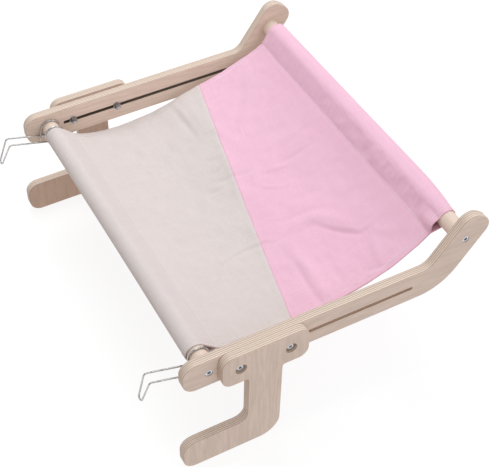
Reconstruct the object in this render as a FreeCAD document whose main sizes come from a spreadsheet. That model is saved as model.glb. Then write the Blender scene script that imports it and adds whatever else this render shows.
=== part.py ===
"""Cat window perch.

Two bent plywood rails are tied together by two round dowels. A sewn cloth
sling hangs between the dowels in open sleeves. A plywood clamp bracket sits on
the outside of each rail: it slides along a slot in the rail and grips a sill
between its lower arm and the rail. A wire hook swings on the rear dowel beside
each rail.

Design frame: X runs from the hooks to the raised front end with X = 0 at the
rear dowel's axis, Y runs across with Y = 0 midway between the rails (left is
+Y), and Z is up with Z = 0 at the foot of the brackets. The finished parts
are shifted along X so that the whole object is centred on the origin.
"""
import FreeCAD, Part
import math
import os

import Sketcher

Vector = FreeCAD.Vector
Rotation = FreeCAD.Rotation

# Driving dimensions, in millimetres and degrees: name, value, meaning.
DIMENSIONS = [
    ("FrameShift", 0.0, "moves the design frame's X to the centre of the object"),
    ("SheetThickness", 13.0, "thickness of every plywood part"),
    ("ClearWidth", 502.0, "distance between the rails' inner faces"),
    ("SoftEdge", 0.8, "rounding of the plywood outlines"),
    ("RailHeight", 48.0, "width of the rail's bar"),
    ("RailCentre", 166.5, "height of the rail's centreline"),
    ("RearOverhang", 36.0, "rail's rear end behind the rear dowel"),
    ("FrontDowelX", 372.0, "front dowel's axis along the rail"),
    ("FrontDowelZ", 221.5, "front dowel's height"),
    ("ArmAngle", 54.8, "slope of the raised front arm"),
    ("ArmOverhang", 38.0, "rail's front end beyond the front dowel"),
    ("BendInner", 20.0, "inner radius of the rail's bend"),
    ("EndRounding", 19.0, "corner radius at both ends of the rail"),
    ("SlotWidth", 5.4, "width of the bolt slot"),
    ("SlotRear", 24.8, "centre of the slot's rear end"),
    ("SlotFront", 295.0, "centre of the slot's front end"),
    ("BracketPosition", 37.6, "bracket's rear bolt along the rail at rest"),
    ("BoltSpacing", 71.0, "distance between a bracket's two bolts"),
    ("BarOverhang", 26.0, "bracket's top bar beyond each bolt"),
    ("BarHeight", 53.0, "height of the bracket's top bar"),
    ("BarRounding", 15.0, "corner radius of the top bar"),
    ("StemWidth", 48.5, "width of the bracket's stem"),
    ("StemRounding", 4.0, "corner radius between stem and top bar"),
    ("LowerArmReach", 93.5, "lower arm beyond the stem's rear face"),
    ("LowerArmHeight", 51.0, "height of the lower arm"),
    ("LowerArmRounding", 18.0, "corner radius of the lower arm's tip"),
    ("HeelRounding", 30.0, "outer corner radius under the stem"),
    ("ThroatRounding", 15.0, "inner corner radius between stem and lower arm"),
    ("DowelRadius", 12.5, "radius of both dowels"),
    ("InsertRadius", 4.5, "radius of the threaded insert in a dowel's end"),
    ("InsertLength", 15.0, "length of the threaded insert"),
    ("FitGap", 0.05, "radial clearance of a part in its hole"),
    ("DowelBoltRadius", 3.0, "radius of a dowel bolt's shank"),
    ("DowelBoltHead", 5.0, "radius of a dowel bolt's head"),
    ("DowelBoltHeadHeight", 5.5, "height of a dowel bolt's head"),
    ("DowelBoltSocket", 5.0, "width across the flats of a dowel bolt's socket"),
    ("BracketBoltRadius", 2.5, "radius of a bracket bolt's shank"),
    ("BracketBoltHead", 4.25, "radius of a bracket bolt's head"),
    ("BracketBoltHeadHeight", 5.0, "height of a bracket bolt's head"),
    ("BracketBoltSocket", 4.0, "width across the flats of a bracket bolt's socket"),
    ("SocketDepth", 3.6, "depth of every bolt's hexagon socket"),
    ("DowelHoleRadius", 3.2, "radius of the rail's hole for a dowel bolt"),
    ("BracketHoleRadius", 2.7, "radius of the bracket's hole for a bolt"),
    ("DowelRecess", 6.2, "depth of the rail's recess for a dowel bolt's head"),
    ("DowelRecessRadius", 5.3, "radius of the rail's recess"),
    ("DowelBoltLength", 20.5, "shank length of a dowel bolt"),
    ("BracketRecess", 8.0, "depth of the bracket's recess for a bolt's head"),
    ("BracketRecessRadius", 8.0, "radius of the bracket's recess"),
    ("BracketBoltLength", 25.6, "shank length of a bracket bolt"),
    ("WasherRadius", 6.0, "outer radius of a rail washer"),
    ("WasherThickness", 1.2, "thickness of a rail washer"),
    ("NutWidth", 8.0, "width across the flats of the nut"),
    ("NutHeight", 4.7, "height of the nut"),
    ("WireRadius", 1.25, "radius of the hook's wire"),
    ("HookInset", 2.0, "hook's outer wire from the rail's inner face"),
    ("HookSpacing", 16.0, "distance between the hook's two legs"),
    ("TipSpacing", 10.0, "distance between the ends of the hook's two tips"),
    ("HookStraight", 6.5, "straight start of a leg, past the sling's sleeve"),
    ("HookLeg", 68.0, "length of a hook leg up to its bend"),
    ("HookBend", 4.0, "radius of the bend in a hook leg"),
    ("HookTurn", 89.5, "angle that a hook leg turns through at its bend"),
    ("HookTip", 29.0, "straight length of the hook's tip"),
    ("HookInnerEye", 310.0, "angle that a hook's inner eye wraps round the dowel"),
    ("HookOuterEye", 270.0, "angle that a hook's outer eye wraps round the dowel"),
    ("TailStraight", 0.5, "straight start of the tail"),
    ("HookTail", 18.0, "slanting end of the tail"),
    ("TailSlant", 20.0, "slant of the tail, which passes beside the leg"),
    ("TailBend", 8.0, "radius of the gentle bends in the tail and the leg"),
    ("RightHookTilt", 17.0, "right hook's rise above the level at rest"),
    ("LeftHookTilt", 24.5, "left hook's rise above the level at rest"),
    ("RightHookSkew", 0.0, "inward slant of the right hook's legs"),
    ("LeftHookSkew", 11.0, "inward slant of the left hook's legs"),
    ("ClothThickness", 1.6, "thickness of the sling's cloth"),
    ("SleeveGap", 0.4, "sleeve's clearance round its dowel"),
    ("SlingRight", -227.0, "sling's right-hand edge"),
    ("SlingLeft", 231.0, "sling's left-hand edge"),
    ("SeamCentre", 190.0, "seam between the two cloths on the centreline"),
    ("SeamAngle", 11.9, "seam's slant across the sling"),
    ("CutterSize", 900.0, "edge of the block that parts the two cloths"),
]

# The sling's sagging middle line between its two sleeves, as (X, Z).
SAG_LINE = [(30, 159), (64, 146), (106, 141), (174, 148.5), (245, 162), (306, 181), (345, 206)]
SAG_START_SLOPE = -45.0
SAG_END_SLOPE = 50.0

doc = FreeCAD.newDocument("cat_window_perch")
sheet = doc.addObject("Spreadsheet::Sheet", "Dims")
parts = []


# ---------------------------------------------------------------- helpers

def fill_sheet():
    """Writes every driving dimension into the sheet under its alias."""
    for row, (name, value, meaning) in enumerate(DIMENSIONS, start=1):
        sheet.set("A%d" % row, meaning)
        sheet.set("B%d" % row, str(value))
        sheet.setAlias("B%d" % row, name)
    doc.recompute()


def dim(name):
    """The present value of a driving dimension."""
    return float(getattr(sheet, name))


def bind(obj, expressions):
    """Ties properties of an object to expressions over the sheet."""
    for name, expression in expressions.items():
        obj.setExpression(name, expression)


def place(obj, x="0", y="0", z="0", about_x=0.0):
    """Turns an object about X and binds its position in the row's frame."""
    obj.Placement = FreeCAD.Placement(Vector(), Rotation(Vector(1, 0, 0), about_x))
    bind(obj, {
        "Placement.Base.x": "Dims.FrameShift + " + x,
        "Placement.Base.y": y,
        "Placement.Base.z": z,
    })


def keep(obj, label):
    """Names a finished sub-part and lists it for export."""
    obj.Label = label
    parts.append(obj)
    return obj


def new_sketch(body, name, depth=None):
    """A sketch on the body's XZ plane, moved towards -Y by the depth expression."""
    plane = next(f for f in body.Origin.OriginFeatures if f.Role == "XZ_Plane")
    sketch = body.newObject("Sketcher::SketchObject", name)
    sketch.AttachmentSupport = [(plane, "")]
    sketch.MapMode = "FlatFace"
    if depth:
        sketch.setExpression("AttachmentOffset.Base.z", depth)
    return sketch


def drive(sketch, constraint, name, expression):
    """Adds a dimension to a sketch and ties it to the sheet."""
    index = sketch.addConstraint(constraint)
    sketch.renameConstraint(index, name)
    sketch.setExpression("Constraints." + name, expression)


def draw_polygon(sketch, corners):
    """Draws a closed outline of straight lines; line i starts at corner i."""
    count = len(corners)
    for i in range(count):
        start = Vector(corners[i][0], corners[i][1], 0)
        end = Vector(corners[(i + 1) % count][0], corners[(i + 1) % count][1], 0)
        sketch.addGeometry(Part.LineSegment(start, end), False)
    for i in range(count):
        sketch.addConstraint(Sketcher.Constraint("Coincident", i, 2, (i + 1) % count, 1))


def draw_circles(sketch, places, radius):
    """Draws circles of one bound radius at places given as (X, Z) dimension expressions."""
    for i, (x, z, x_seed, z_seed) in enumerate(places):
        circle = Part.Circle(Vector(x_seed, z_seed, 0), Vector(0, 0, 1), dim(radius))
        sketch.addGeometry(circle, False)
        drive(sketch, Sketcher.Constraint("Radius", i, dim(radius)), "radius%d" % i, "Dims." + radius)
        drive(sketch, Sketcher.Constraint("DistanceY", -1, 1, i, 3, z_seed), "height%d" % i, z)
        if x is None:
            sketch.addConstraint(Sketcher.Constraint("PointOnObject", i, 3, -2))
        else:
            drive(sketch, Sketcher.Constraint("DistanceX", -1, 1, i, 3, x_seed), "along%d" % i, x)


def pad(body, sketch, name):
    """Plywood thickness of material from the XZ plane towards -Y."""
    feature = body.newObject("PartDesign::Pad", name)
    feature.Profile = sketch
    feature.setExpression("Length", "Dims.SheetThickness")
    sketch.Visibility = False
    doc.recompute()
    return feature


def pocket(body, sketch, name, towards_minus_y, depth=None):
    """Cuts a sketch into the body, right through or to a bound depth."""
    before = body.Shape.Volume
    feature = body.newObject("PartDesign::Pocket", name)
    feature.Profile = sketch
    feature.Reversed = towards_minus_y
    if depth:
        feature.Type = "Length"
        feature.setExpression("Length", depth)
    else:
        feature.Type = "ThroughAll"
    doc.recompute()
    if body.Shape.Volume >= before - 1.0:
        raise RuntimeError("%s in %s cuts nothing" % (name, body.Name))
    return feature


def fillet(body, name, edges, radius):
    """Rounds the named edges of the body's present shape with a bound radius."""
    feature = body.newObject("PartDesign::Fillet", name)
    feature.Base = (body.Group[-2], edges)
    feature.setExpression("Radius", "Dims." + radius)
    doc.recompute()
    return feature


def corner_edges(shape, corners):
    """Names of the edges through the plate's thickness at the given (X, Z) corners."""
    names = []
    for index, edge in enumerate(shape.Edges, start=1):
        ends = [v.Point for v in edge.Vertexes]
        if len(ends) != 2 or abs(ends[0].y - ends[1].y) < 1.0:
            continue
        for x, z in corners:
            if abs(ends[0].x - x) < 0.05 and abs(ends[0].z - z) < 0.05:
                names.append("Edge%d" % index)
    if len(names) != len(corners):
        raise RuntimeError("%d corners, %d edges" % (len(corners), len(names)))
    return names


def outline_edges(shape):
    """Names of the edges round both flat faces of a plate."""
    names = []
    for index, edge in enumerate(shape.Edges, start=1):
        if edge.BoundBox.YLength < 1e-6:
            names.append("Edge%d" % index)
    return names


def side_terms(side):
    """Sign of Y, and the turn about X that points a bolt inwards, for one side."""
    return (-1, -90.0) if side == "right" else (1, 90.0)


# ---------------------------------------------------------------- plywood

def rail_corners():
    """Sharp corners of the rail's outline, from the rear foot anticlockwise."""
    slope = math.radians(dim("ArmAngle"))
    along = Vector(math.cos(slope), math.sin(slope), 0)
    across = Vector(-along.y, along.x, 0)
    half = dim("RailHeight") / 2
    bottom = dim("RailCentre") - half
    top = dim("RailCentre") + half
    dowel = Vector(dim("FrontDowelX"), dim("FrontDowelZ"), 0)
    lower_end = dowel - across * half + along * dim("ArmOverhang")
    upper_end = dowel + across * half + along * dim("ArmOverhang")
    lower_bend = lower_end.x - (lower_end.y - bottom) / math.tan(slope)
    upper_bend = upper_end.x - (upper_end.y - top) / math.tan(slope)
    rear = -dim("RearOverhang")
    return [(rear, bottom), (lower_bend, bottom), (lower_end.x, lower_end.y),
            (upper_end.x, upper_end.y), (upper_bend, top), (rear, top)]


def draw_rail_outline(sketch):
    """Bar of constant width with one bend, its arm centred on the front dowel."""
    draw_polygon(sketch, rail_corners())
    dowel = Vector(dim("FrontDowelX"), dim("FrontDowelZ"), 0)
    sketch.addGeometry(Part.Point(dowel), True)
    for line in (0, 4):
        sketch.addConstraint(Sketcher.Constraint("Horizontal", line))
    sketch.addConstraint(Sketcher.Constraint("Vertical", 5))
    sketch.addConstraint(Sketcher.Constraint("Parallel", 1, 3))
    sketch.addConstraint(Sketcher.Constraint("Perpendicular", 1, 2))
    half = dim("RailHeight") / 2
    drive(sketch, Sketcher.Constraint("DistanceX", 0, 1, -1, 1, dim("RearOverhang")),
          "overhang", "Dims.RearOverhang")
    drive(sketch, Sketcher.Constraint("DistanceY", -1, 1, 0, 1, dim("RailCentre") - half),
          "foot_level", "Dims.RailCentre - Dims.RailHeight / 2")
    drive(sketch, Sketcher.Constraint("DistanceY", 0, 1, 4, 2, dim("RailHeight")),
          "bar_width", "Dims.RailHeight")
    drive(sketch, Sketcher.Constraint("Angle", 1, math.radians(dim("ArmAngle"))),
          "slope", "Dims.ArmAngle * 1 deg")
    drive(sketch, Sketcher.Constraint("DistanceX", -1, 1, 6, 1, dowel.x),
          "dowel_x", "Dims.FrontDowelX")
    drive(sketch, Sketcher.Constraint("DistanceY", -1, 1, 6, 1, dowel.y),
          "dowel_z", "Dims.FrontDowelZ")
    drive(sketch, Sketcher.Constraint("Distance", 6, 1, 1, half), "under_dowel", "Dims.RailHeight / 2")
    drive(sketch, Sketcher.Constraint("Distance", 6, 1, 3, half), "over_dowel", "Dims.RailHeight / 2")
    drive(sketch, Sketcher.Constraint("Distance", 6, 1, 2, dim("ArmOverhang")),
          "beyond_dowel", "Dims.ArmOverhang")


def draw_slot(sketch):
    """Straight slot with round ends on the rail's centreline."""
    rear, front, middle = dim("SlotRear"), dim("SlotFront"), dim("RailCentre")
    radius = dim("SlotWidth") / 2
    normal = Vector(0, 0, 1)
    rear_round = Part.Circle(Vector(rear, middle, 0), normal, radius)
    front_round = Part.Circle(Vector(front, middle, 0), normal, radius)
    sketch.addGeometry(Part.ArcOfCircle(rear_round, math.pi / 2, 3 * math.pi / 2), False)
    sketch.addGeometry(Part.ArcOfCircle(front_round, -math.pi / 2, math.pi / 2), False)
    for level in (middle - radius, middle + radius):
        line = Part.LineSegment(Vector(rear, level, 0), Vector(front, level, 0))
        sketch.addGeometry(line, False)
    for arc, end, line, line_end in ((0, 2, 2, 1), (1, 1, 2, 2), (1, 2, 3, 2), (0, 1, 3, 1)):
        sketch.addConstraint(Sketcher.Constraint("Tangent", arc, end, line, line_end))
    sketch.addConstraint(Sketcher.Constraint("Horizontal", 2))
    drive(sketch, Sketcher.Constraint("Radius", 0, radius), "radius", "Dims.SlotWidth / 2")
    drive(sketch, Sketcher.Constraint("DistanceX", -1, 1, 0, 3, rear), "rear_end", "Dims.SlotRear")
    drive(sketch, Sketcher.Constraint("DistanceX", -1, 1, 1, 3, front), "front_end", "Dims.SlotFront")
    drive(sketch, Sketcher.Constraint("DistanceY", -1, 1, 0, 3, middle), "slot_level", "Dims.RailCentre")


def make_rail(side):
    """Bent plywood rail with its bolt slot and the recessed holes for the dowel bolts."""
    label = side + "_rail"
    sign, _ = side_terms(side)
    body = doc.addObject("PartDesign::Body", label)
    outline = new_sketch(body, label + "_outline")
    draw_rail_outline(outline)
    pad(body, outline, label + "_blank")
    corners = rail_corners()
    ends = corner_edges(body.Shape, [corners[i] for i in (0, 2, 3, 5)])
    fillet(body, label + "_ends", ends, "EndRounding")
    inner_bend = fillet(body, label + "_inner_bend", corner_edges(body.Shape, [corners[4]]), "BendInner")
    outer_bend = fillet(body, label + "_outer_bend", corner_edges(body.Shape, [corners[1]]), "BendInner")
    outer_bend.setExpression("Radius", "Dims.BendInner + Dims.RailHeight")
    doc.recompute()
    fillet(body, label + "_soft_edges", outline_edges(body.Shape), "SoftEdge")

    slot = new_sketch(body, label + "_slot_outline")
    draw_slot(slot)
    pocket(body, slot, label + "_slot", True)

    bolts = [(None, "Dims.RailCentre", 0.0, dim("RailCentre")),
             ("Dims.FrontDowelX", "Dims.FrontDowelZ", dim("FrontDowelX"), dim("FrontDowelZ"))]
    holes = new_sketch(body, label + "_bolt_holes")
    draw_circles(holes, bolts, "DowelHoleRadius")
    pocket(body, holes, label + "_holes", True)
    outer_face = "Dims.SheetThickness" if side == "right" else None
    recesses = new_sketch(body, label + "_recess_circles", outer_face)
    draw_circles(recesses, bolts, "DowelRecessRadius")
    pocket(body, recesses, label + "_recesses", side == "left", "Dims.DowelRecess")

    inner = "Dims.ClearWidth / 2" + (" + Dims.SheetThickness" if sign > 0 else "")
    place(body, y="%d * (%s)" % (sign, inner))
    return keep(body, label)


def bracket_corners():
    """Sharp corners of the bracket's outline, from the lower arm's tip anticlockwise."""
    middle = dim("BoltSpacing") / 2
    stem_rear = middle - dim("StemWidth") / 2
    stem_front = middle + dim("StemWidth") / 2
    bar_rear = -dim("BarOverhang")
    bar_front = dim("BoltSpacing") + dim("BarOverhang")
    bar_bottom = dim("RailCentre") - dim("BarHeight") / 2
    bar_top = dim("RailCentre") + dim("BarHeight") / 2
    tip = stem_rear - dim("LowerArmReach")
    return [(tip, 0), (stem_front, 0), (stem_front, bar_bottom), (bar_front, bar_bottom),
            (bar_front, bar_top), (bar_rear, bar_top), (bar_rear, bar_bottom),
            (stem_rear, bar_bottom), (stem_rear, dim("LowerArmHeight")),
            (tip, dim("LowerArmHeight"))]


def draw_bracket_outline(sketch):
    """Top bar, stem and lower arm as one outline; X = 0 is the rear bolt's axis."""
    corners = bracket_corners()
    draw_polygon(sketch, corners)
    for line in (0, 2, 4, 6, 8):
        sketch.addConstraint(Sketcher.Constraint("Horizontal", line))
    for line in (1, 3, 5, 7, 9):
        sketch.addConstraint(Sketcher.Constraint("Vertical", line))
    sketch.addConstraint(Sketcher.Constraint("PointOnObject", 0, 1, -1))
    sketch.addConstraint(Sketcher.Constraint("DistanceY", 2, 1, 6, 2, 0.0))
    bar_bottom = corners[2][1]
    drive(sketch, Sketcher.Constraint("DistanceY", -1, 1, 2, 1, bar_bottom),
          "bar_bottom", "Dims.RailCentre - Dims.BarHeight / 2")
    drive(sketch, Sketcher.Constraint("DistanceY", 3, 1, 3, 2, dim("BarHeight")),
          "bar_height", "Dims.BarHeight")
    drive(sketch, Sketcher.Constraint("DistanceY", 0, 1, 8, 2, dim("LowerArmHeight")),
          "arm_height", "Dims.LowerArmHeight")
    drive(sketch, Sketcher.Constraint("DistanceX", 5, 1, -1, 1, dim("BarOverhang")),
          "bar_rear", "Dims.BarOverhang")
    drive(sketch, Sketcher.Constraint("DistanceX", -1, 1, 3, 1, corners[3][0]),
          "bar_front", "Dims.BoltSpacing + Dims.BarOverhang")
    drive(sketch, Sketcher.Constraint("DistanceX", -1, 1, 7, 1, corners[7][0]),
          "stem_rear", "(Dims.BoltSpacing - Dims.StemWidth) / 2")
    drive(sketch, Sketcher.Constraint("DistanceX", 7, 1, 2, 1, dim("StemWidth")),
          "stem_width", "Dims.StemWidth")
    drive(sketch, Sketcher.Constraint("DistanceX", 0, 1, 7, 1, dim("LowerArmReach")),
          "arm_reach", "Dims.LowerArmReach")


def make_bracket(side):
    """Plywood clamp bracket with two recessed bolt holes in its top bar."""
    label = side + "_bracket"
    sign, _ = side_terms(side)
    body = doc.addObject("PartDesign::Body", label)
    outline = new_sketch(body, label + "_outline")
    draw_bracket_outline(outline)
    pad(body, outline, label + "_blank")
    corners = bracket_corners()
    roundings = (("bar_corners", (3, 4, 5, 6), "BarRounding"), ("stem_corners", (2, 7), "StemRounding"),
                 ("tip_corners", (0, 9), "LowerArmRounding"), ("heel", (1,), "HeelRounding"),
                 ("throat", (8,), "ThroatRounding"))
    for name, chosen, radius in roundings:
        edges = corner_edges(body.Shape, [corners[i] for i in chosen])
        fillet(body, "%s_%s" % (label, name), edges, radius)
    fillet(body, label + "_soft_edges", outline_edges(body.Shape), "SoftEdge")

    bolts = [(None, "Dims.RailCentre", 0.0, dim("RailCentre")),
             ("Dims.BoltSpacing", "Dims.RailCentre", dim("BoltSpacing"), dim("RailCentre"))]
    holes = new_sketch(body, label + "_bolt_holes")
    draw_circles(holes, bolts, "BracketHoleRadius")
    pocket(body, holes, label + "_holes", True)
    outer_face = "Dims.SheetThickness" if side == "right" else None
    recesses = new_sketch(body, label + "_recess_circles", outer_face)
    draw_circles(recesses, bolts, "BracketRecessRadius")
    pocket(body, recesses, label + "_recesses", side == "left", "Dims.BracketRecess")

    inner = "Dims.ClearWidth / 2 + Dims.SheetThickness" + (" * 2" if sign > 0 else "")
    place(body, x="Dims.BracketPosition", y="%d * (%s)" % (sign, inner))
    return keep(body, label)


# ---------------------------------------------------------------- dowels

def cylinder(name, radius, height, start="0"):
    """A bound cylinder along Z that starts at the given height."""
    solid = doc.addObject("Part::Cylinder", name)
    bind(solid, {"Radius": radius, "Height": height, "Placement.Base.z": start})
    return solid


def prism(name, across_flats, height, start="0"):
    """A bound hexagonal prism along Z that starts at the given height."""
    solid = doc.addObject("Part::Prism", name)
    solid.Polygon = 6
    bind(solid, {"Circumradius": across_flats + " / sqrt(3)", "Height": height,
                 "Placement.Base.z": start})
    return solid


def fuse(name, base, tool):
    """Union of two solids."""
    result = doc.addObject("Part::Fuse", name)
    result.Base, result.Tool = base, tool
    return result


def cut(name, base, tool):
    """One solid with another taken away."""
    result = doc.addObject("Part::Cut", name)
    result.Base, result.Tool = base, tool
    return result


def make_dowel(end, x, z):
    """Round dowel between the rails, bored at both ends for its threaded inserts."""
    label = end + "_dowel"
    bore_radius = "Dims.InsertRadius + Dims.FitGap"
    bore_depth = "Dims.InsertLength + 2"
    rod = cylinder(label + "_rod", "Dims.DowelRadius", "Dims.ClearWidth")
    right_bore = cylinder(label + "_right_bore", bore_radius, bore_depth)
    left_bore = cylinder(label + "_left_bore", bore_radius, bore_depth,
                         "Dims.ClearWidth - " + "(%s)" % bore_depth)
    dowel = cut(label, cut(label + "_half_bored", rod, right_bore), left_bore)
    place(dowel, x=x, y="-Dims.ClearWidth / 2", z=z, about_x=-90.0)
    return keep(dowel, label)


def make_bolt(label, kind):
    """Socket-head bolt of one kind along Z, its head's outer face at Z = 0."""
    size = "Dims.%sBolt" % kind
    head = cylinder(label + "_head", size + "Head", size + "HeadHeight")
    shank = cylinder(label + "_shank", size + "Radius", size + "Length", size + "HeadHeight")
    socket = prism(label + "_socket", size + "Socket", "Dims.SocketDepth")
    return cut(label, fuse(label + "_blank", head, shank), socket)


def make_ring(label, outer, inner, height):
    """Plain ring along Z, such as a washer."""
    return cut(label, cylinder(label + "_outside", outer, height),
               cylinder(label + "_hole", inner, height))


def make_dowel_fastening(side, end, x, z):
    """Bolt through the rail and threaded insert in the dowel, at one dowel end."""
    sign, turn = side_terms(side)
    bolt = make_bolt("%s_%s_dowel_bolt" % (side, end), "Dowel")
    seat = "Dims.ClearWidth / 2 + Dims.SheetThickness - Dims.DowelRecess + Dims.DowelBoltHeadHeight"
    place(bolt, x=x, y="%d * (%s)" % (sign, seat), z=z, about_x=turn)
    keep(bolt, bolt.Name)
    insert = make_ring("%s_%s_dowel_insert" % (side, end), "Dims.InsertRadius",
                       "Dims.DowelBoltRadius + Dims.FitGap", "Dims.InsertLength")
    place(insert, x=x, y="%d * Dims.ClearWidth / 2" % sign, z=z, about_x=turn)
    keep(insert, insert.Name)


def make_bracket_fastening(side, end, along):
    """Bolt, washer and nut that clamp a bracket to its rail."""
    sign, turn = side_terms(side)
    x = "Dims.BracketPosition + " + along
    outer = "Dims.ClearWidth / 2 + 2 * Dims.SheetThickness - Dims.BracketRecess"
    inner = "Dims.ClearWidth / 2"
    stem = "%s_%s_bracket" % (side, end)
    bore = "Dims.BracketBoltRadius + Dims.FitGap"
    pieces = (
        (make_bolt(stem + "_bolt", "Bracket"), outer + " + Dims.BracketBoltHeadHeight"),
        (make_ring(stem + "_washer", "Dims.WasherRadius", bore, "Dims.WasherThickness"), inner),
        (cut(stem + "_nut", prism(stem + "_nut_blank", "Dims.NutWidth", "Dims.NutHeight"),
             cylinder(stem + "_nut_bore", bore, "Dims.NutHeight")),
         inner + " - Dims.WasherThickness"),
    )
    for piece, distance in pieces:
        place(piece, x=x, y="%d * (%s)" % (sign, distance), z="Dims.RailCentre", about_x=turn)
        keep(piece, piece.Name)


# ---------------------------------------------------------------- wire hooks

def arc_edge(centre, radius, first, second, start, end):
    """Arc of a circle in the plane of two unit vectors, between two angles in degrees."""
    points = []
    for angle in (start, (start + end) / 2, end):
        turn = math.radians(angle)
        points.append(centre + first * (radius * math.cos(turn)) + second * (radius * math.sin(turn)))
    return Part.Arc(*points).toShape()


def bent_edges(point, way, runs):
    """Edges of a wire that runs straight and then turns, run by run, and its end.

    Each run is a straight length, the direction after it and the turn's radius.
    """
    edges = []
    for length, new_way, radius in runs:
        edges.append(Part.LineSegment(point, point + way * length).toShape())
        point = point + way * length
        turn = way.getAngle(new_way)
        if turn > 0.001:
            aside = (new_way - way * way.dot(new_way)).normalize()
            edges.append(arc_edge(point + aside * radius, radius, -aside, way,
                                  0, math.degrees(turn)))
            point = edges[-1].valueAt(edges[-1].LastParameter)
        way = new_way
    return edges, point


def hook_path(side):
    """Centreline of a hook's wire round the origin's Y axis.

    It runs from the tail through the outer eye, leg, bend and tip, and back
    along the other leg to the inner eye. The tips lean towards each other. The
    tail crosses its own leg on the inner side, one wire's width away.
    """
    sign, _ = side_terms(side)
    x_axis, y_axis, z_axis = Vector(1, 0, 0), Vector(0, 1, 0), Vector(0, 0, 1)
    inwards = y_axis * -sign
    eye = dim("DowelRadius") + dim("FitGap") + dim("WireRadius")
    half, tip_half = dim("HookSpacing") / 2, dim("TipSpacing") / 2
    skew, turn = math.radians(dim(side.capitalize() + "HookSkew")), math.radians(dim("HookTurn"))
    leg_way = inwards * math.sin(skew) - x_axis * math.cos(skew)
    tip_way = leg_way * math.cos(turn) - z_axis * math.sin(turn)
    lean = math.atan2(half - tip_half, dim("HookTip"))

    def side_edges(inward, wrap):
        shift = inwards * (half * inward)
        eye_arc = arc_edge(shift, eye, x_axis, z_axis, dim(wrap) - 90, -90)
        own_way = (tip_way - inwards * (inward * math.tan(lean))).normalize()
        edges, end = bent_edges(shift - z_axis * eye, -x_axis, [
            (dim("HookStraight"), leg_way, dim("TailBend")),
            (dim("HookLeg") - dim("HookStraight"), own_way, dim("HookBend")),
            (dim("HookTip"), own_way, 0),
        ])
        return [eye_arc] + edges, end

    outer, outer_end = side_edges(-1, "HookOuterEye")
    inner, inner_end = side_edges(1, "HookInnerEye")
    reach = (outer_end - inner_end).Length / 2 * (1 - math.sin(lean)) / math.cos(lean)
    apex = (outer_end + inner_end) * 0.5 + tip_way * reach
    closing = Part.Arc(outer_end, apex, inner_end).toShape()

    slant, eye_end = math.radians(dim("TailSlant")), math.radians(dim("HookOuterEye") - 90)
    tail_start = Vector(math.cos(eye_end), 0, math.sin(eye_end)) * eye - inwards * half
    down = Vector(-math.sin(eye_end), 0, math.cos(eye_end))
    slanted = down * math.cos(slant) + inwards * math.sin(slant)
    tail, _ = bent_edges(tail_start, down, [
        (dim("TailStraight"), slanted, dim("TailBend")),
        (dim("HookTail"), slanted, 0),
    ])
    return Part.Wire(list(reversed(tail)) + outer + [closing] + list(reversed(inner)))


def make_hook(side):
    """Steel wire hook: two open eyes round the rear dowel joined by one bent loop."""
    label = side + "_wire_hook"
    sign, _ = side_terms(side)
    path = hook_path(side)
    start = path.OrderedEdges[0]
    first = start.FirstParameter if start.Orientation == "Forward" else start.LastParameter
    point, tangent = start.valueAt(first), start.tangentAt(first)
    section = Part.Wire(Part.Circle(point, tangent, dim("WireRadius")).toShape())
    sweep = Part.BRepOffsetAPI.MakePipeShell(path)
    sweep.add(section)
    sweep.build()
    sweep.makeSolid()
    hook = doc.addObject("Part::Feature", label)
    hook.Shape = sweep.shape()
    tilt = dim(side.capitalize() + "HookTilt")
    hook.Placement = FreeCAD.Placement(Vector(), Rotation(Vector(0, 1, 0), tilt))
    centre = "Dims.ClearWidth / 2 - Dims.HookInset - Dims.HookSpacing / 2"
    bind(hook, {
        "Placement.Base.x": "Dims.FrameShift",
        "Placement.Base.y": "%d * (%s)" % (sign, centre),
        "Placement.Base.z": "Dims.RailCentre",
    })
    return keep(hook, label)


# ---------------------------------------------------------------- sling

def sag_curve(offset):
    """The sling's profile between its sleeves, moved sideways by an offset."""
    sleeve = dim("DowelRadius") + dim("SleeveGap") + dim("ClothThickness") / 2
    start_slope, end_slope = math.radians(SAG_START_SLOPE), math.radians(SAG_END_SLOPE)
    start = Vector(-sleeve * math.sin(start_slope), 0,
                   dim("RailCentre") + sleeve * math.cos(start_slope))
    end = Vector(dim("FrontDowelX") - sleeve * math.sin(end_slope), 0,
                 dim("FrontDowelZ") + sleeve * math.cos(end_slope))
    points = [start] + [Vector(x, 0, z) for x, z in SAG_LINE] + [end]
    middle = Part.BSplineCurve()
    middle.interpolate(Points=points,
                       InitialTangent=Vector(math.cos(start_slope), 0, math.sin(start_slope)),
                       FinalTangent=Vector(math.cos(end_slope), 0, math.sin(end_slope)))
    moved = []
    for point in points:
        direction = middle.tangent(middle.parameter(point))[0]
        moved.append(point + Vector(-direction.z, 0, direction.x) * offset)
    curve = Part.BSplineCurve()
    curve.interpolate(Points=moved,
                      InitialTangent=Vector(math.cos(start_slope), 0, math.sin(start_slope)),
                      FinalTangent=Vector(math.cos(end_slope), 0, math.sin(end_slope)))
    return curve


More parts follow.
